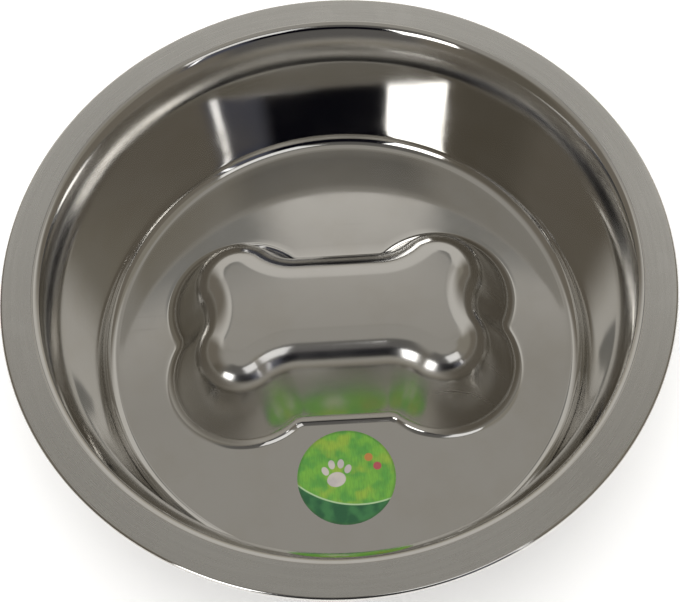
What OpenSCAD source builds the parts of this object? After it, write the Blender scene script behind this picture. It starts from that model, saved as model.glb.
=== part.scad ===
/* [Rim and wall] */
// Outside diameter, measured across the rolled edge
rim_d = 290; // [280:1:304]
// Overall height, from the table to the top of the flange
bowl_h = 75.5; // [60:0.5:90]
// Thickness of the pressed sheet
sheet_t = 0.7; // [0.5:0.1:1]
// Outside diameter of the rolled edge
roll_d = 3; // [2.6:0.1:4]
// Turn of the rolled edge, from the flange round to its cut end
roll_turn = 275; // [200:5:285]
// Diameter of the mouth, where the flat flange bends down into the wall
mouth_d = 263; // [258:1:270]
// Radius of the bend from the flange to the wall, on its upper side
mouth_r = 4; // [2:0.5:6]
// Lean of the wall at its top, from the vertical, where it meets the bend at the mouth
flare_lean = 32; // [24:1:40]
// Lean of the straight lower wall, from the vertical
wall_lean = 7.8; // [6:0.2:10]
// Diameter of the flat floor
floor_d = 216; // [210:1:222]
// Radius of the bend from the floor to the wall, on the inside of the bowl
corner_r = 7; // [4:0.5:10]

/* [Bone] */
// Height of the flat top of the bone above the floor
bone_h = 39; // [24:0.5:45]
// Slope of the sides of the bone, from the horizontal
bone_slope = 65.4; // [60:0.2:75]
// Radius of the bend from the floor up into the side of the bone
foot_r = 7; // [4:0.5:9]
// Radius in plan of the flat top at each knob, inside the bend from the side to the top
flat_r = 5.1; // [3:0.1:8]
// Foot radius of each of the four knobs of the bone
knob_r = 39; // [35.5:0.5:42]
// Distance of the knob centres from the middle, along the bone
knob_x = 46.4; // [42:0.2:50]
// Distance of the knob centres from the middle, across the bone
knob_y = 17.4; // [15.5:0.1:19]
// Width of the foot of the bone across its straight middle
waist_w = 93.4; // [88:0.2:98]
// Radius in plan of the foot where a straight side meets a knob
waist_notch_r = 3; // [2:0.5:5]
// Radius in plan of the foot where two knobs meet at the end
end_notch_r = 3; // [2:0.5:5]

/* [Label] */
// Diameter of the round label
label_d = 45; // [30:1:48]
// Thickness of the label
label_t = 0.12; // [0.08:0.01:0.3]
// Place of the label's middle, along the bone
label_x = -1.3; // [-6:0.1:6]
// Gap between the foot of the bone and the label
label_gap = 0.9; // [0.5:0.1:5]

/* [Hidden] */
$fn = 180;

// The flange ends in the roll, and the inside surfaces lie one sheet above the outside ones.
roll_r = roll_d / 2;
roll_axis_r = rim_d / 2 - roll_r;
mouth_bend = [mouth_d / 2, bowl_h - mouth_r];
corner_bend = [floor_d / 2, sheet_t + corner_r];
// The wall goes straight up from the corner bend, then flares evenly out to the mouth bend. The flare
// touches both, so its radius follows from the places of the two bends.
wall_out = [cos(wall_lean), -sin(wall_lean)];
flare_out = [cos(flare_lean), -sin(flare_lean)];
flare_cos = cos(flare_lean - wall_lean);
bend_gap = (mouth_bend - corner_bend) * wall_out;
flare_r = (bend_gap - corner_r - mouth_r * flare_cos) / (1 - flare_cos);
flare_bend = mouth_bend + (flare_r - mouth_r) * flare_out;

// The side of the bone is straight between its foot bend and its shoulder bend, whose radius follows
// from the room between the foot line and the flat top.
bone_top = sheet_t + bone_h;
bone_run = knob_r - flat_r;
shoulder_r = (bone_run - bone_h / tan(bone_slope)) / tan(bone_slope / 2) - foot_r;
// A narrow flat border round the foot laps onto the floor, and the floor's cut-out ends within it.
border = min(waist_notch_r, end_notch_r) / 2;
// Each notch is an arc that touches the knob, so its centre lies at the sum of the two radii.
waist_notch_y = waist_w / 2 + waist_notch_r;
waist_reach = knob_r + waist_notch_r;
waist_angle = 180 - asin((waist_notch_y - knob_y) / waist_reach);
waist_x = knob_x + waist_reach * cos(waist_angle);
end_reach = knob_r + end_notch_r;
end_angle = -asin(knob_y / end_reach);
end_x = knob_x + end_reach * cos(end_angle);
label_y = waist_w / 2 + label_gap + label_d / 2;

// The sheet is drawn slightly thinner round a notch, by this much on each side.
notch_inset = 0.02;
// That thinner sheet runs this far into the pieces on both sides of it.
notch_lap = 0.05;
// Part of a notch's turn that the edge of the top plate follows before it crosses to the next piece.
plate_arc_share = 0.9;

// The points of an arc, in even steps of at most so many degrees. The wide flare takes finer steps.
bend_step = 9;
flare_step = 2;
function arc(centre, r, from, to, step = bend_step) =
    let (steps = ceil(abs(to - from) / step))
    [for (i = [0:steps]) let (a = from + (to - from) * i / steps) centre + r * [cos(a), sin(a)]];
// The same without the last point, for where the next arc starts at that point.
function arc_up_to(centre, r, from, to, step) =
    let (points = arc(centre, r, from, to, step)) [for (i = [0:len(points) - 2]) points[i]];

// Half the section of the bowl without the bone: up its inside and over the roll, then back below.
module bowl_section() {
    wall_at = 180 - wall_lean;
    flare_at = 180 - flare_lean;
    roll_centre = [roll_axis_r, bowl_h - roll_r];
    roll_end = 90 - roll_turn;
    polygon(concat(
        [[0, sheet_t]],
        arc(corner_bend, corner_r, -90, -wall_lean),
        arc_up_to(flare_bend, flare_r, wall_at, flare_at, flare_step),
        arc(mouth_bend, mouth_r, flare_at, 90),
        arc(roll_centre, roll_r, 90, roll_end),
        arc(roll_centre, roll_r - sheet_t, roll_end, 90),
        arc_up_to(mouth_bend, mouth_r - sheet_t, 90, flare_at, bend_step),
        arc(flare_bend, flare_r - sheet_t, flare_at, wall_at, flare_step),
        arc(corner_bend, corner_r + sheet_t, -wall_lean, -90),
        [[0, 0]]
    ));
}

// The section of the bone's sheet, from the foot line to the flat top. Its x starts at the foot line's
// own and goes along way, which is 1 or -1, to get to the inside of the bone. Both surfaces are set
// back by inset.
module bone_section(foot_line, way, inset = 0) {
    slope = bone_slope;
    foot_bend = [0, sheet_t + foot_r];
    shoulder_bend = [bone_run, bone_top - shoulder_r];
    points = concat(
        [[-border, inset], [-border, sheet_t - inset]],
        arc(foot_bend, foot_r + inset, -90, slope - 90),
        arc(shoulder_bend, shoulder_r - inset, 90 + slope, 90),
        [[knob_r, bone_top - inset], [knob_r, bone_top - sheet_t + inset]],
        arc(shoulder_bend, shoulder_r - sheet_t + inset, 90, 90 + slope),
        arc(foot_bend, foot_r + sheet_t - inset, slope - 90, -90)
    );
    polygon([for (p = points) [foot_line + way * p[0], p[1]]]);
}

// Keeps the side of space that lies to the left of a direction, seen from above, and a strip to its right.
module left_of(direction, strip = 0) {
    size = 2 * rim_d;
    rotate([0, 0, direction])
        translate([-size / 2, -strip, -size / 2])
            cube(size);
}

// One knob, between the directions from its centre to the centres of its two notches.
module knob() {
    translate([knob_x, knob_y, 0]) intersection() {
        rotate_extrude()
            bone_section(knob_r, -1);
        left_of(end_angle);
        left_of(waist_angle + 180);
    }
}

// The sheet round the centre of a notch, between two directions, where the foot line bends inwards.
module notch(centre, r, from, to) {
    translate(centre) intersection() {
        rotate_extrude()
            bone_section(r, 1, notch_inset);
        left_of(from, notch_lap);
        left_of(to + 180, notch_lap);
    }
}

// The straight side between two notches.
module straight_side() {
    translate([-waist_x, waist_w / 2, 0]) rotate([90, 0, 90])
        linear_extrude(height = 2 * waist_x)
            bone_section(0, -1);
}

// A quarter of the plate in the middle of the flat top. Its edge lies on the flat of each piece around it.
module top_plate_quarter() {
    edge = (bone_run + knob_r) / 2;
    knob_middle = (waist_angle + end_angle) / 2;
    end_arc = arc([end_x, 0], end_notch_r + edge, 180, 180 + end_angle * plate_arc_share);
    waist_turn = (waist_angle - 90) * plate_arc_share;
    waist_arc = arc([waist_x, waist_notch_y], waist_notch_r + edge, waist_turn - 90, -90);
    knob_point = [knob_x, knob_y] + (knob_r - edge) * [cos(knob_middle), sin(knob_middle)];
    translate([0, 0, bone_top - sheet_t])
        linear_extrude(height = sheet_t)
            polygon(concat([[0, 0]], end_arc, [knob_point], waist_arc, [[0, waist_w / 2 - edge]]));
}

// The hollow bone, which is pressed up from the floor.
module bone() {
    for (x = [0, 1])
        mirror([x, 0, 0]) {
            notch([end_x, 0, 0], end_notch_r, 180 + end_angle, 180 - end_angle);
            for (y = [0, 1])
                mirror([0, y, 0]) {
                    knob();
                    notch([waist_x, waist_notch_y, 0], waist_notch_r, -90, waist_angle - 180);
                    top_plate_quarter();
                }
        }
    for (y = [0, 1])
        mirror([0, y, 0])
            straight_side();
}

// The outline of the opening in the floor, half way across the border round the foot.
module bone_cutout() {
    for (x = [-knob_x, knob_x], y = [-knob_y, knob_y])
        translate([x, y])
            circle(knob_r + border / 2);
    square([2 * waist_x, waist_w + border], center = true);
    square([2 * knob_x, 2 * knob_y], center = true);
}

module bowl_shell() {
    color([0.78, 0.77, 0.75]) {
        difference() {
            rotate_extrude()
                bowl_section();
            translate([0, 0, -sheet_t])
                linear_extrude(height = 3 * sheet_t)
                    bone_cutout();
        }
        bone();
    }
}

module label() {
    color([0.36, 0.62, 0.13])
        translate([label_x, -label_y, sheet_t])
            cylinder(d = label_d, h = label_t);
}

bowl_shell();
label();
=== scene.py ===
import math

import bmesh
import bpy
from mathutils import Matrix, Vector


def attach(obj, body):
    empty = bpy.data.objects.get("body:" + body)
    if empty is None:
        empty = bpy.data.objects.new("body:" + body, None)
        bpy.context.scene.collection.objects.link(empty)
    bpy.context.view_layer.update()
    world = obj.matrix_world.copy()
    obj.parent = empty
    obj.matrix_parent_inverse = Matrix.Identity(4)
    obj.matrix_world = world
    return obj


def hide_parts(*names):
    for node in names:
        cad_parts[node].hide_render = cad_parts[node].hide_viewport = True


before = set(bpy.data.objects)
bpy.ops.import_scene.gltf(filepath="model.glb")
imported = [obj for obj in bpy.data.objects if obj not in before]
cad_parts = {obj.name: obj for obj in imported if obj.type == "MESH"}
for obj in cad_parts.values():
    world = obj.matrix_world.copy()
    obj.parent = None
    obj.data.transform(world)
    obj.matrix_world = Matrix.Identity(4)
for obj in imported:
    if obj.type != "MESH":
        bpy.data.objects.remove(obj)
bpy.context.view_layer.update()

MM = 0.001

# Sizes of the bowl in millimetres, the same as in the construction. Leans are in degrees from the vertical.
RIM_R = 145.0
BOWL_H = 75.5
SHEET = 0.7
ROLL_R = 1.5
ROLL_TURN = 275.0
MOUTH_R = 131.5
MOUTH_BEND = 4.0
FLARE_LEAN = 32.0
WALL_LEAN = 7.8
FLOOR_R = 108.0
CORNER_BEND = 7.0
BONE_H = 39.0
SLOPE = math.radians(65.4)
FOOT_R = 7.0
SHOULDER_R = 18.0
KNOB_R = 39.0
KNOB = Vector((46.4, 17.4))
WAIST_HALF = 46.7
WAIST_NOTCH_R = 3.0
END_NOTCH_R = 3.0
LABEL_R = 22.5
LABEL_T = 0.12
LABEL_AT = (-1.3, -70.1)

BONE_TOP = SHEET + BONE_H
BONE_RUN = (FOOT_R + SHOULDER_R) * math.tan(SLOPE / 2) + BONE_H / math.tan(SLOPE)
WAIST_Y = WAIST_HALF + WAIST_NOTCH_R
WAIST_REACH = KNOB_R + WAIST_NOTCH_R
WAIST_TURN = math.pi - math.asin((WAIST_Y - KNOB.y) / WAIST_REACH)
WAIST_X = KNOB.x + WAIST_REACH * math.cos(WAIST_TURN)
END_REACH = KNOB_R + END_NOTCH_R
END_TURN = -math.asin(KNOB.y / END_REACH)
END_X = KNOB.x + END_REACH * math.cos(END_TURN)
# The flat top is closed towards a line along its middle, which ends this far from the bowl's axis.
SPINE_HALF = 40.0

# Shares of the way from the spine to the edge of the flat top, and from the foot line to the floor's edge.
PLATE_STEPS = (0.0, 0.15, 0.35, 0.55, 0.72, 0.86, 0.95, 1.0)
FLOOR_STEPS = (0.08, 0.2, 0.35, 0.5, 0.65, 0.8, 0.92)

# The camera that was solved on the photograph: its place in metres, its lens in millimetres, and degrees.
CAMERA_AT = Vector((0, -0.2643, 0.5530))
CAMERA_LENS = 67.36
SENSOR_WIDTH = 36.0
CAMERA_YAW = 0.06
CAMERA_PITCH = 62.75
CAMERA_ROLL = -5.13
# The bone lies this far off the camera's own heading.
BONE_TURN = 2.2

# The camera's side lies at this heading. The wall behind the bowl is at 0, and the right is positive.
CAMERA_SIDE = 180.0
# The studio as the steel shows it. Each row has a heading and a height, both as centre, half width and soft
# edge in degrees, and a colour. Later rows lie over the earlier ones.
ROOM = (
    # The dim left side and the paler right side.
    ((-118.0, 8.0, 18.0), (20.0, 20.0, 16.0), (0.135, 0.12, 0.095, 1)),
    ((90.0, 35.0, 20.0), (58.0, 10.0, 8.0), (0.28, 0.26, 0.22, 1)),
    # The pale wall behind, and two duller strips near its top.
    ((4.0, 36.0, 26.0), (18.0, 39.0, 9.0), (0.62, 0.60, 0.56, 1)),
    ((-16.5, 7.0, 3.5), (57.0, 3.0, 2.0), (0.235, 0.23, 0.215, 1)),
    ((12.5, 4.0, 3.5), (57.0, 3.0, 2.0), (0.235, 0.23, 0.215, 1)),
    # The edge of the ceiling over the camera.
    ((CAMERA_SIDE, 40.0, 30.0), (58.5, 10.0, 8.0), (0.14, 0.135, 0.125, 1)),
    # The foot of the pale wall.
    ((4.0, 36.0, 26.0), (0.0, 8.0, 24.0), (0.37, 0.34, 0.28, 1)),
    # The dark camera side, its bluish edge and the black in its middle.
    ((CAMERA_SIDE, 26.0, 8.0), (20.0, 36.0, 12.0), (0.125, 0.12, 0.115, 1)),
    ((147.0, 9.0, 6.0), (27.0, 9.0, 11.0), (0.085, 0.09, 0.12, 1)),
    ((CAMERA_SIDE, 20.0, 8.0), (32.0, 10.0, 10.0), (0.003, 0.003, 0.006, 1)),
)
ROOM_SIDES = (0.19, 0.17, 0.14, 1)
CEILING = (0.36, 0.345, 0.315, 1)
# The sides turn into the ceiling between these heights.
CEILING_FROM, CEILING_FULL = 48.0, 70.0


def lerp(a, b, t):
    return a + (b - a) * t


def spread(a, b, steps):
    """Even values from a up to, and without, b."""
    return [lerp(a, b, i / steps) for i in range(steps)]


def heading_vector(angle):
    """The unit vector at an angle in a plane, in radians."""
    return Vector((math.cos(angle), math.sin(angle)))


# The outline of the bone

def quarter_outline():
    """Anchor, outward direction and radius of each point of the foot line, from the end to the middle."""
    end_notch = Vector((END_X, 0.0))
    waist_notch = Vector((WAIST_X, WAIST_Y))
    across = Vector((0.0, 1.0))
    points = [(end_notch, heading_vector(-a), -END_NOTCH_R) for a in spread(0.0, -END_TURN, steps=16)]
    points += [(KNOB, heading_vector(a), KNOB_R) for a in spread(END_TURN, WAIST_TURN, steps=84)]
    points += [(waist_notch, heading_vector(a), -WAIST_NOTCH_R)
               for a in spread(WAIST_TURN, math.pi / 2, steps=24)]
    points += [(Vector((x, 0.0)), across, WAIST_HALF) for x in spread(WAIST_X, 0.0, steps=10)]
    points.append((Vector((0.0, 0.0)), across, WAIST_HALF))
    return points


def full_outline():
    """The whole foot line, once round from the +X end."""
    quarter = quarter_outline()

    def flipped(points, sx, sy):
        return [(Vector((c.x * sx, c.y * sy)), Vector((n.x * sx, n.y * sy)), r) for c, n, r in points]

    second = flipped(quarter[::-1], -1, 1)[1:]
    third = flipped(quarter, -1, -1)[1:]
    fourth = flipped(quarter[::-1], 1, -1)[1:-1]
    return quarter + second + third + fourth


OUTLINE = full_outline()
ROUND = len(OUTLINE)


def outline_at(distance):
    """The outline this far in from the foot line."""
    return [c + n * (r - distance) for c, n, r in OUTLINE]


# Sections

def bone_section():
    """Distance in from the foot line, height and slope of the upper surface of the bone's side."""
    rows = []
    for a in spread(0.0, SLOPE, steps=14):
        rows.append((FOOT_R * math.sin(a), SHEET + FOOT_R * (1 - math.cos(a)), a))
    low_in, low_z = FOOT_R * math.sin(SLOPE), SHEET + FOOT_R * (1 - math.cos(SLOPE))
    high_in = BONE_RUN - SHOULDER_R * math.sin(SLOPE)
    high_z = BONE_TOP - SHOULDER_R * (1 - math.cos(SLOPE))
    for t in spread(0.0, 1.0, steps=5):
        rows.append((lerp(low_in, high_in, t), lerp(low_z, high_z, t), SLOPE))
    for a in spread(SLOPE, 0.0, steps=30):
        rows.append((BONE_RUN - SHOULDER_R * math.sin(a), BONE_TOP - SHOULDER_R * (1 - math.cos(a)), a))
    return rows


def arc(centre, r, start, end, steps):
    """Points of an arc in the section's plane, with their angles in degrees."""
    angles = [math.radians(a) for a in spread(start, end, steps) + [end]]
    return [(centre[0] + r * math.cos(a), centre[1] + r * math.sin(a)) for a in angles]


def between(p, q, count):
    """Points between two others, without either."""
    shares = [i / (count + 1) for i in range(1, count + 1)]
    return [(lerp(p[0], q[0], t), lerp(p[1], q[1], t)) for t in shares]


def flare_arc():
    """Centre and radius of the wall's flare, which touches the straight wall and the bend at the mouth."""
    wall, flare = math.radians(WALL_LEAN), math.radians(FLARE_LEAN)
    corner = Vector((FLOOR_R, SHEET + CORNER_BEND))
    mouth = Vector((MOUTH_R, BOWL_H - MOUTH_BEND))
    turn = math.cos(flare - wall)
    gap = (mouth - corner).dot(heading_vector(-wall))
    r = (gap - CORNER_BEND - MOUTH_BEND * turn) / (1 - turn)
    return mouth + (r - MOUTH_BEND) * heading_vector(-flare), r


def bowl_rings():
    """Radius and height of each ring, up the inside, round the roll and back down the outside.

    They come with the number of the ring where the satin finish starts, and of the one where it ends.
    """
    wall_at, flare_at = 180 - WALL_LEAN, 180 - FLARE_LEAN
    corner = (FLOOR_R, SHEET + CORNER_BEND)
    mouth = (MOUTH_R, BOWL_H - MOUTH_BEND)
    roll = (RIM_R - ROLL_R, BOWL_H - ROLL_R)
    flare, flare_r = flare_arc()
    up = arc(corner, CORNER_BEND, -90, -WALL_LEAN, steps=22)
    flared = arc(flare, flare_r, wall_at, flare_at, steps=26)
    over = arc(mouth, MOUTH_BEND, flare_at, 90, steps=16)
    curl = arc(roll, ROLL_R, 90, 90 - ROLL_TURN, steps=34)
    curl_back = arc(roll, ROLL_R - SHEET, 90 - ROLL_TURN, 90, steps=20)
    under = arc(mouth, MOUTH_BEND - SHEET, 90, flare_at, steps=10)
    behind = arc(flare, flare_r - SHEET, flare_at, wall_at, steps=12)
    down = arc(corner, CORNER_BEND + SHEET, -WALL_LEAN, -90, steps=14)
    rings = up + between(up[-1], flared[0], count=8) + flared + over[1:]
    satin_from = len(rings) - 1
    rings += between(over[-1], curl[0], count=5)
    satin_to = len(rings) + 1
    rings += curl + curl_back + between(curl_back[-1], under[0], count=3) + under + behind[1:]
    rings += between(behind[-1], down[0], count=5) + down
    return rings, satin_from, satin_to


# The meshes

def plate_rows(z, steps):
    """Rows of the flat top, from its spine to its edge."""
    flat = outline_at(BONE_RUN)
    spine = [max(-SPINE_HALF, min(SPINE_HALF, p.x)) for p in flat]
    return [[(lerp(x, f.x, t), lerp(0.0, f.y, t), z) for x, f in zip(spine, flat)] for t in steps]


def bone_rows(depth):
    """Rows of the side of the bone, from its top down, this far below the upper surface."""
    rows = []
    for distance, z, slope in bone_section()[::-1]:
        ring = outline_at(distance + depth * math.sin(slope))
        rows.append([(p.x, p.y, z - depth * math.cos(slope)) for p in ring])
    return rows


def floor_rows(z, steps):
    """Rows of the floor, from the foot line out to the bend up into the wall."""
    foot = [(math.atan2(p.y, p.x) % math.tau, p.length) for p in outline_at(0.0)]
    rows = []
    for t in steps:
        row = []
        for i, (angle, reach) in enumerate(foot):
            a = lerp(angle, math.tau * i / ROUND, t)
            r = lerp(reach, FLOOR_R, t)
            row.append((r * math.cos(a), r * math.sin(a), z))
        rows.append(row)
    return rows


def ring_row(r, z):
    """One ring round the bowl's axis."""
    return [(r * math.cos(math.tau * i / ROUND), r * math.sin(math.tau * i / ROUND), z)
            for i in range(ROUND)]


def linked(name, data):
    """A new object in the scene."""
    piece = bpy.data.objects.new(name, data)
    bpy.context.collection.objects.link(piece)
    return piece


def build_shell():
    """The pressed sheet as one closed skin, over its upper side and back below."""
    rings, satin_from, satin_to = bowl_rings()
    rows = plate_rows(BONE_TOP, PLATE_STEPS) + bone_rows(0.0) + floor_rows(SHEET, FLOOR_STEPS)
    first_ring = len(rows)
    rows += [ring_row(r, z) for r, z in rings]
    rows += floor_rows(0.0, FLOOR_STEPS[::-1]) + bone_rows(SHEET)[::-1]
    rows += plate_rows(BONE_TOP - SHEET, PLATE_STEPS[::-1])
    bm = bmesh.new()
    grid = [[bm.verts.new(Vector(p) * MM) for p in row] for row in rows]
    for j in range(len(grid) - 1):
        satin = first_ring + satin_from <= j < first_ring + satin_to
        for i in range(ROUND):
            k = (i + 1) % ROUND
            face = bm.faces.new((grid[j][i], grid[j + 1][i], grid[j + 1][k], grid[j][k]))
            face.smooth = True
            face.material_index = 1 if satin else 0
    bmesh.ops.remove_doubles(bm, verts=bm.verts, dist=1e-7)
    bmesh.ops.dissolve_degenerate(bm, edges=bm.edges, dist=1e-7)
    bmesh.ops.recalc_face_normals(bm, faces=bm.faces)
    mesh = bpy.data.meshes.new("bowl")
    bm.to_mesh(mesh)
    bm.free()
    mesh.materials.append(steel_polished())
    mesh.materials.append(steel_satin())
    return linked("pressed_bowl", mesh)


def build_label():
    """The label's disc, with a slightly rounded upper edge."""
    around = spread(0.0, math.tau, steps=144)
    shares = (0.25, 0.5, 0.75)
    top = SHEET + LABEL_T
    profile = [(LABEL_R * t, SHEET) for t in shares]
    profile += [(LABEL_R, SHEET), (LABEL_R, SHEET + LABEL_T * 0.6)]
    profile += [(LABEL_R - LABEL_T * 0.15, SHEET + LABEL_T * 0.9), (LABEL_R - LABEL_T * 0.5, top)]
    profile += [(LABEL_R * t, top) for t in shares[::-1]]
    bm = bmesh.new()
    rings = []
    for r, z in profile:
        places = [(LABEL_AT[0] + r * math.cos(a), LABEL_AT[1] + r * math.sin(a), z) for a in around]
        rings.append([bm.verts.new(Vector(p) * MM) for p in places])
    for low, high in zip(rings, rings[1:]):
        for i in range(len(around)):
            k = (i + 1) % len(around)
            bm.faces.new((low[i], low[k], high[k], high[i]))
    bm.faces.new(rings[0][::-1])
    bm.faces.new(rings[-1])
    bmesh.ops.recalc_face_normals(bm, faces=bm.faces)
    mesh = bpy.data.meshes.new("label")
    bm.to_mesh(mesh)
    bm.free()
    mesh.materials.append(label_print())
    return linked("round_label", mesh)


# Node helpers

def nodes_of(name):
    material = bpy.data.materials.new(name)
    material.use_nodes = True
    tree = material.node_tree
    return material, tree, tree.nodes["Principled BSDF"]


def wire(tree, socket, value):
    """Sets a socket to a value, or links it to another socket."""
    if isinstance(value, bpy.types.NodeSocket):
        tree.links.new(value, socket)
    else:
        socket.default_value = value


def math_node(tree, operation, *values):
    node = tree.nodes.new("ShaderNodeMath")
    node.operation = operation
    for socket, value in zip(node.inputs, values):
        wire(tree, socket, value)
    return node.outputs[0]


def smooth(tree, value, start, end, low=0.0, high=1.0):
    """Goes smoothly from low to high as the value goes from start to end."""
    node = tree.nodes.new("ShaderNodeMapRange")
    node.interpolation_type = "SMOOTHSTEP"
    settings = {"Value": value, "From Min": start, "From Max": end, "To Min": low, "To Max": high}
    for name, number in settings.items():
        wire(tree, node.inputs[name], number)
    return node.outputs[0]


def mix(tree, factor, a, b, blend="MIX"):
    node = tree.nodes.new("ShaderNodeMix")
    node.data_type = "RGBA"
    node.blend_type = blend
    # The node's sockets for a factor and two colours, among those of its other data types.
    for index, value in ((0, factor), (6, a), (7, b)):
        wire(tree, node.inputs[index], value)
    return node.outputs[2]


def place(tree):
    """The point on the object, in metres."""
    return tree.nodes.new("ShaderNodeTexCoord").outputs["Object"]


def noise(tree, vector, scale, detail=2.0, roughness=0.5):
    node = tree.nodes.new("ShaderNodeTexNoise")
    for name, value in (("Vector", vector), ("Scale", scale), ("Detail", detail), ("Roughness", roughness)):
        wire(tree, node.inputs[name], value)
    return node.outputs["Fac"]


def moved(tree, vector, location=(0, 0, 0), angle=0.0, scale=(1, 1, 1), kind="POINT"):
    node = tree.nodes.new("ShaderNodeMapping")
    node.vector_type = kind
    wire(tree, node.inputs["Vector"], vector)
    node.inputs["Location"].default_value = location
    node.inputs["Rotation"].default_value = (0, 0, angle)
    node.inputs["Scale"].default_value = scale
    return node.outputs[0]


def split(tree, vector):
    node = tree.nodes.new("ShaderNodeSeparateXYZ")
    wire(tree, node.inputs[0], vector)
    return node.outputs


def reach_of(tree, x, y):
    """The distance from the bowl's axis."""
    squares = [math_node(tree, "MULTIPLY", v, v) for v in (x, y)]
    return math_node(tree, "SQRT", math_node(tree, "ADD", *squares))


def bump(tree, shader, layers):
    """Adds each layer of a height and a distance in metres to the shader's normal."""
    normal = None
    for height, distance in layers:
        node = tree.nodes.new("ShaderNodeBump")
        node.inputs["Strength"].default_value = 1.0
        node.inputs["Distance"].default_value = distance
        tree.links.new(height, node.inputs["Height"])
        if normal is not None:
            tree.links.new(normal, node.inputs["Normal"])
        normal = node.outputs[0]
    tree.links.new(normal, shader.inputs["Normal"])


def ripples(tree, spot):
    """The sheet's slow unevenness, as a layer of bump."""
    return noise(tree, spot, scale=38.0, detail=1.0), 0.03 * MM


# Materials

def scratches(tree, spot):
    """Fine straight scratches in three directions, strong in some areas and absent in others."""
    along, across = 12, 900
    marks = None
    for angle, scale in ((0.35, 1.0), (1.7, 1.2), (2.6, 0.9)):
        stretched = moved(tree, spot, angle=angle, scale=(along * scale, across * scale, along))
        lines = smooth(tree, noise(tree, stretched, scale=1.0, detail=1.0), 0.70, 0.78)
        marks = lines if marks is None else math_node(tree, "MAXIMUM", marks, lines)
    worn = smooth(tree, noise(tree, spot, scale=22.0), 0.48, 0.66)
    return math_node(tree, "MULTIPLY", marks, worn)


def duller_flare(tree, z):
    """The extra roughness of the wall's flare, which ends before the bend at the mouth."""
    rising = smooth(tree, z, 52 * MM, 65 * MM, 0.0, 0.11)
    return math_node(tree, "MULTIPLY", rising, smooth(tree, z, 72.5 * MM, 70 * MM))


def duller_bone(tree, reach, z):
    """The extra roughness of the bone's sides, with less on its top and none on the floor or the wall."""
    side = smooth(tree, z, 39.8 * MM, 34 * MM, 0.04, 0.14)
    side = math_node(tree, "MULTIPLY", smooth(tree, z, 1.5 * MM, 6 * MM), side)
    return math_node(tree, "MULTIPLY", side, smooth(tree, reach, 104 * MM, 98 * MM))


def steel_polished():
    """Bright pressed steel, slightly uneven, with faint stains, handling haze and fine scratches."""
    material, tree, shader = nodes_of("steel_polished")
    clean, stained = (0.665, 0.655, 0.635, 1), (0.645, 0.63, 0.60, 1)
    spot = place(tree)
    x, y, z = split(tree, spot)
    stain = smooth(tree, noise(tree, spot, scale=30.0, detail=4.0, roughness=0.6), 0.42, 0.68)
    shader.inputs["Metallic"].default_value = 1.0
    wire(tree, shader.inputs["Base Color"], mix(tree, stain, clean, stained))
    marks = scratches(tree, spot)
    haze = smooth(tree, noise(tree, spot, scale=45.0), 0.35, 0.7, 0.06, 0.095)
    duller = math_node(tree, "MAXIMUM", duller_flare(tree, z), duller_bone(tree, reach_of(tree, x, y), z))
    haze = math_node(tree, "ADD", haze, duller)
    rough = math_node(tree, "ADD", haze, math_node(tree, "MULTIPLY", marks, 0.08))
    wire(tree, shader.inputs["Roughness"], rough)
    bump(tree, shader, (ripples(tree, spot), (marks, -0.0015 * MM)))
    return material


def steel_satin():
    """Steel brushed in rings, for the flange."""
    material, tree, shader = nodes_of("steel_satin")
    dark, light = (0.605, 0.60, 0.585, 1), (0.63, 0.625, 0.61, 1)
    stretch = 0.004
    spot = place(tree)
    x, y, z = split(tree, spot)
    rings = tree.nodes.new("ShaderNodeCombineXYZ")
    wire(tree, rings.inputs[0], reach_of(tree, x, y))
    wire(tree, rings.inputs[1], math_node(tree, "MULTIPLY", math_node(tree, "ARCTAN2", x, y), stretch))
    wire(tree, rings.inputs[2], z)
    fine = noise(tree, rings.outputs[0], scale=2600.0, detail=3.0, roughness=0.6)
    coarse = noise(tree, rings.outputs[0], scale=700.0)
    shader.inputs["Metallic"].default_value = 1.0
    shader.inputs["Anisotropic"].default_value = 0.5
    shader.inputs["Anisotropic Rotation"].default_value = 0.25
    around = tree.nodes.new("ShaderNodeTangent")
    around.direction_type = "RADIAL"
    around.axis = "Z"
    tree.links.new(around.outputs[0], shader.inputs["Tangent"])
    wire(tree, shader.inputs["Base Color"], mix(tree, smooth(tree, coarse, 0.3, 0.7), dark, light))
    rough = smooth(tree, fine, 0.25, 0.75, 0.26, 0.32)
    wear = smooth(tree, noise(tree, spot, scale=60.0, detail=4.0, roughness=0.6), 0.45, 0.8, 0.0, 0.08)
    wire(tree, shader.inputs["Roughness"], math_node(tree, "SUBTRACT", rough, wear))
    bump(tree, shader, ((fine, 0.0009 * MM), ripples(tree, spot)))
    return material


def spot_in(tree, at, centre, half, angle=0.0, edge=0.06):
    """1 inside an ellipse, in millimetres from the label's middle, and 0 outside it."""
    away = tree.nodes.new("ShaderNodeVectorMath")
    away.operation = "LENGTH"
    location = (centre[0] * MM, centre[1] * MM, 0)
    scale = (half[0] * MM, half[1] * MM, 1)
    wire(tree, away.inputs[0], moved(tree, at, location, angle, scale, "TEXTURE"))
    return smooth(tree, away.outputs["Value"], 1 + edge, 1 - edge)


def disc_in(tree, at, centre, r, edge):
    return spot_in(tree, at, centre, (r, r), edge=edge)


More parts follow.
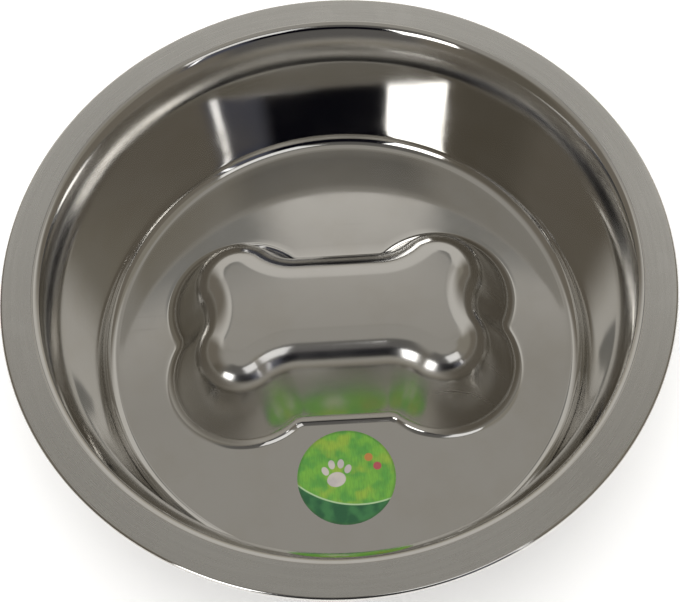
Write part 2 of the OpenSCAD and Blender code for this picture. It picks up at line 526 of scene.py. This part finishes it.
def printed_grass(tree, at, blur):
    """Mottled green with yellower patches and fine upright blades."""
    dark, light, yellow = (0.072, 0.275, 0.034, 1), (0.135, 0.355, 0.030, 1), (0.230, 0.370, 0.028, 1)
    shade, shine = (0.38, 0.38, 0.38, 1), (0.64, 0.64, 0.64, 1)
    colour = mix(tree, smooth(tree, blur, 0.36, 0.62), dark, light)
    patches = noise(tree, moved(tree, at, (3, 1, 2)), scale=90.0)
    colour = mix(tree, smooth(tree, patches, 0.5, 0.68), colour, yellow)
    blades = noise(tree, moved(tree, at, angle=0.5, scale=(1500, 260, 1)), scale=1.0)
    return mix(tree, 0.35, colour, mix(tree, smooth(tree, blades, 0.3, 0.7), shade, shine), "OVERLAY")


def paw_in(tree, at):
    """1 inside the paw's pad and its four toes."""
    paw = spot_in(tree, at, (-4.6, -1.0), (4.3, 3.5), 0.2)
    for x, y, angle in ((-9.6, 3.2, 0.5), (-6.6, 6.2, 0.2), (-2.4, 6.4, -0.1), (0.8, 3.8, -0.45)):
        paw = math_node(tree, "MAXIMUM", paw, spot_in(tree, at, (x, y), (1.5, 2.2), angle, 0.1))
    return paw


def label_print():
    """A mottled green print with a paw, a pale curved line, a dark band below it and two small dots."""
    material, tree, shader = nodes_of("label_print")
    pale_line = (0.36, 0.52, 0.28, 1)
    band_dark, band_light = (0.010, 0.085, 0.030, 1), (0.030, 0.155, 0.045, 1)
    paw_dark, paw_light = (0.43, 0.39, 0.38, 1), (0.50, 0.46, 0.42, 1)
    dots = ((10.5, 9.0, (0.42, 0.17, 0.035, 1)), (14.3, 4.6, (0.36, 0.06, 0.07, 1)))
    bow_at, bow_r, line_width = (6.0, 30.0), 43.0, 0.7
    origin = (-LABEL_AT[0] * MM, -LABEL_AT[1] * MM, -SHEET * MM)
    at = moved(tree, place(tree), origin, scale=(1, 1, 0))
    blur = noise(tree, at, scale=130.0)
    mottle = smooth(tree, blur, 0.4, 0.6)
    above_line = disc_in(tree, at, bow_at, bow_r, edge=0.004)
    above_band = disc_in(tree, at, bow_at, bow_r + line_width, edge=0.004)
    colour = mix(tree, above_line, pale_line, printed_grass(tree, at, blur))
    colour = mix(tree, above_band, mix(tree, mottle, band_dark, band_light), colour)
    colour = mix(tree, paw_in(tree, at), colour, mix(tree, mottle, paw_dark, paw_light))
    for x, y, dot in dots:
        colour = mix(tree, disc_in(tree, at, (x, y), 1.9, edge=0.15), colour, dot)
    inside = disc_in(tree, at, (0, 0), LABEL_R - 0.9, edge=0.02)
    colour = mix(tree, inside, mix(tree, 0.35, colour, (0.03, 0.09, 0.02, 1)), colour)
    wire(tree, shader.inputs["Base Color"], colour)
    paper = smooth(tree, noise(tree, at, scale=900.0, detail=3.0), 0.3, 0.7, 0.36, 0.46)
    wire(tree, shader.inputs["Roughness"], paper)
    shader.inputs["Coat Weight"].default_value = 0.12
    shader.inputs["Coat Roughness"].default_value = 0.2
    waves = (noise(tree, at, scale=70.0), 0.06 * MM)
    bump(tree, shader, (waves, (noise(tree, at, scale=1800.0), 0.004 * MM)))
    return material


# Floor, camera and light

def seen_directly(tree):
    """1 for rays from the camera and for rays that metal or glass sends on, and 0 for the light itself."""
    path = tree.nodes.new("ShaderNodeLightPath").outputs
    seen = math_node(tree, "MAXIMUM", path["Is Camera Ray"], path["Is Glossy Ray"])
    return math_node(tree, "MAXIMUM", seen, path["Is Transmission Ray"])


def build_floor():
    """A white floor that holds the bowl's shadow near it and glows white further out, as a backdrop."""
    half = 40.0
    near_glow, far_glow = 0.25, 1.0
    glow_from, glow_full = 1.0, 3.0
    mesh = bpy.data.meshes.new("floor")
    corners = [(-half, -half, 0), (half, -half, 0), (half, half, 0), (-half, half, 0)]
    mesh.from_pydata(corners, [], [(0, 1, 2, 3)])
    material, tree, shader = nodes_of("floor_white")
    shader.inputs["Base Color"].default_value = (0.9, 0.9, 0.9, 1)
    shader.inputs["Roughness"].default_value = 0.8
    shader.inputs["Specular IOR Level"].default_value = 0.1
    shader.inputs["Emission Color"].default_value = (1, 1, 1, 1)
    x, y, _ = split(tree, place(tree))
    glow = smooth(tree, reach_of(tree, x, y), glow_from, glow_full, near_glow, far_glow)
    wire(tree, shader.inputs["Emission Strength"], math_node(tree, "MULTIPLY", seen_directly(tree), glow))
    mesh.materials.append(material)
    linked("floor", mesh)


def look_frame(yaw, pitch, roll):
    """The camera's axes from its heading, its pitch down and its roll, in degrees."""
    yaw, pitch, roll = (math.radians(a) for a in (yaw, pitch, roll))
    level = math.cos(pitch)
    forward = Vector((math.sin(yaw) * level, math.cos(yaw) * level, -math.sin(pitch)))
    right = forward.cross(Vector((0, 0, 1))).normalized()
    up = right.cross(forward)
    x = right * math.cos(roll) + up * math.sin(roll)
    y = -right * math.sin(roll) + up * math.cos(roll)
    return Matrix((x, y, -forward)).transposed()


def build_camera():
    data = bpy.data.cameras.new("camera")
    data.sensor_width = SENSOR_WIDTH
    data.lens = CAMERA_LENS
    turn = Matrix.Rotation(math.radians(BONE_TURN), 3, "Z")
    axes = turn @ look_frame(CAMERA_YAW, CAMERA_PITCH, CAMERA_ROLL)
    camera = linked("camera", data)
    camera.matrix_world = Matrix.Translation(turn @ CAMERA_AT) @ axes.to_4x4()
    bpy.context.scene.camera = camera


def away_from(tree, value, centre):
    """Degrees between a direction's heading or height and a centre."""
    return math_node(tree, "ABSOLUTE", math_node(tree, "SUBTRACT", value, centre))


def build_world():
    """The studio by direction: sides that turn into a ceiling, and the rows of the room over them."""
    world = bpy.data.worlds.new("studio")
    bpy.context.scene.world = world
    world.use_nodes = True
    tree = world.node_tree
    background = tree.nodes["Background"]
    x, y, z = split(tree, tree.nodes.new("ShaderNodeTexCoord").outputs["Generated"])
    height = math_node(tree, "DEGREES", math_node(tree, "ARCSINE", z))
    heading = math_node(tree, "DEGREES", math_node(tree, "ARCTAN2", x, y))
    from_camera = math_node(tree, "SUBTRACT", CAMERA_SIDE, math_node(tree, "ABSOLUTE", heading))
    colour = mix(tree, smooth(tree, height, CEILING_FROM, CEILING_FULL), ROOM_SIDES, CEILING)
    for (centre, half, soft), (level, upright, fade), shade in ROOM:
        away = from_camera if centre == CAMERA_SIDE else away_from(tree, heading, centre)
        across_share = smooth(tree, away, half + soft, half)
        upright_share = smooth(tree, away_from(tree, height, level), upright + fade, upright)
        colour = mix(tree, math_node(tree, "MULTIPLY", across_share, upright_share), colour, shade)
    tree.links.new(colour, background.inputs["Color"])
    background.inputs["Strength"].default_value = 1.0


def area_lamp(name, location, width, tall, level):
    """A lamp that faces the bowl. Level is the brightness of its own surface. The camera doesn't see it."""
    data = bpy.data.lights.new(name, "AREA")
    data.shape = "RECTANGLE"
    data.size = width
    data.size_y = tall
    data.energy = level * math.pi * width * tall
    lamp = linked(name, data)
    lamp.location = location
    lamp.rotation_euler = location.to_track_quat("Z", "Y").to_euler()
    lamp.visible_camera = False
    return lamp


def softbox(name, heading, height, across, upright, level):
    """A lamp seen from the bowl at a heading and a height and this many degrees across and upright."""
    distance = 3.0
    h, e = math.radians(heading), math.radians(height)
    at = Vector((math.sin(h) * math.cos(e), math.cos(h) * math.cos(e), math.sin(e))) * distance
    width, tall = (2 * distance * math.tan(math.radians(a) / 2) for a in (across, upright))
    area_lamp(name, at, width, tall, level)


def build_lamps():
    softbox("softbox_left", heading=-146.2, height=29.5, across=17.5, upright=30.0, level=3.4)
    softbox("softbox_right", heading=149.0, height=58.0, across=24.0, upright=20.0, level=0.9)
    softbox("strip_right", heading=138.2, height=30.0, across=2.2, upright=24.0, level=1.9)
    overhead = area_lamp("overhead", Vector((0, 0, 2.2)), width=2.4, tall=2.4, level=2.4)
    overhead.visible_glossy = False


shell = build_shell()
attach(shell, "root")
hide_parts("bowl_shell")

sticker = build_label()
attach(sticker, "root")
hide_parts("label")

build_floor()
build_camera()
build_world()
build_lamps()
bpy.context.scene.view_settings.view_transform = "Standard"
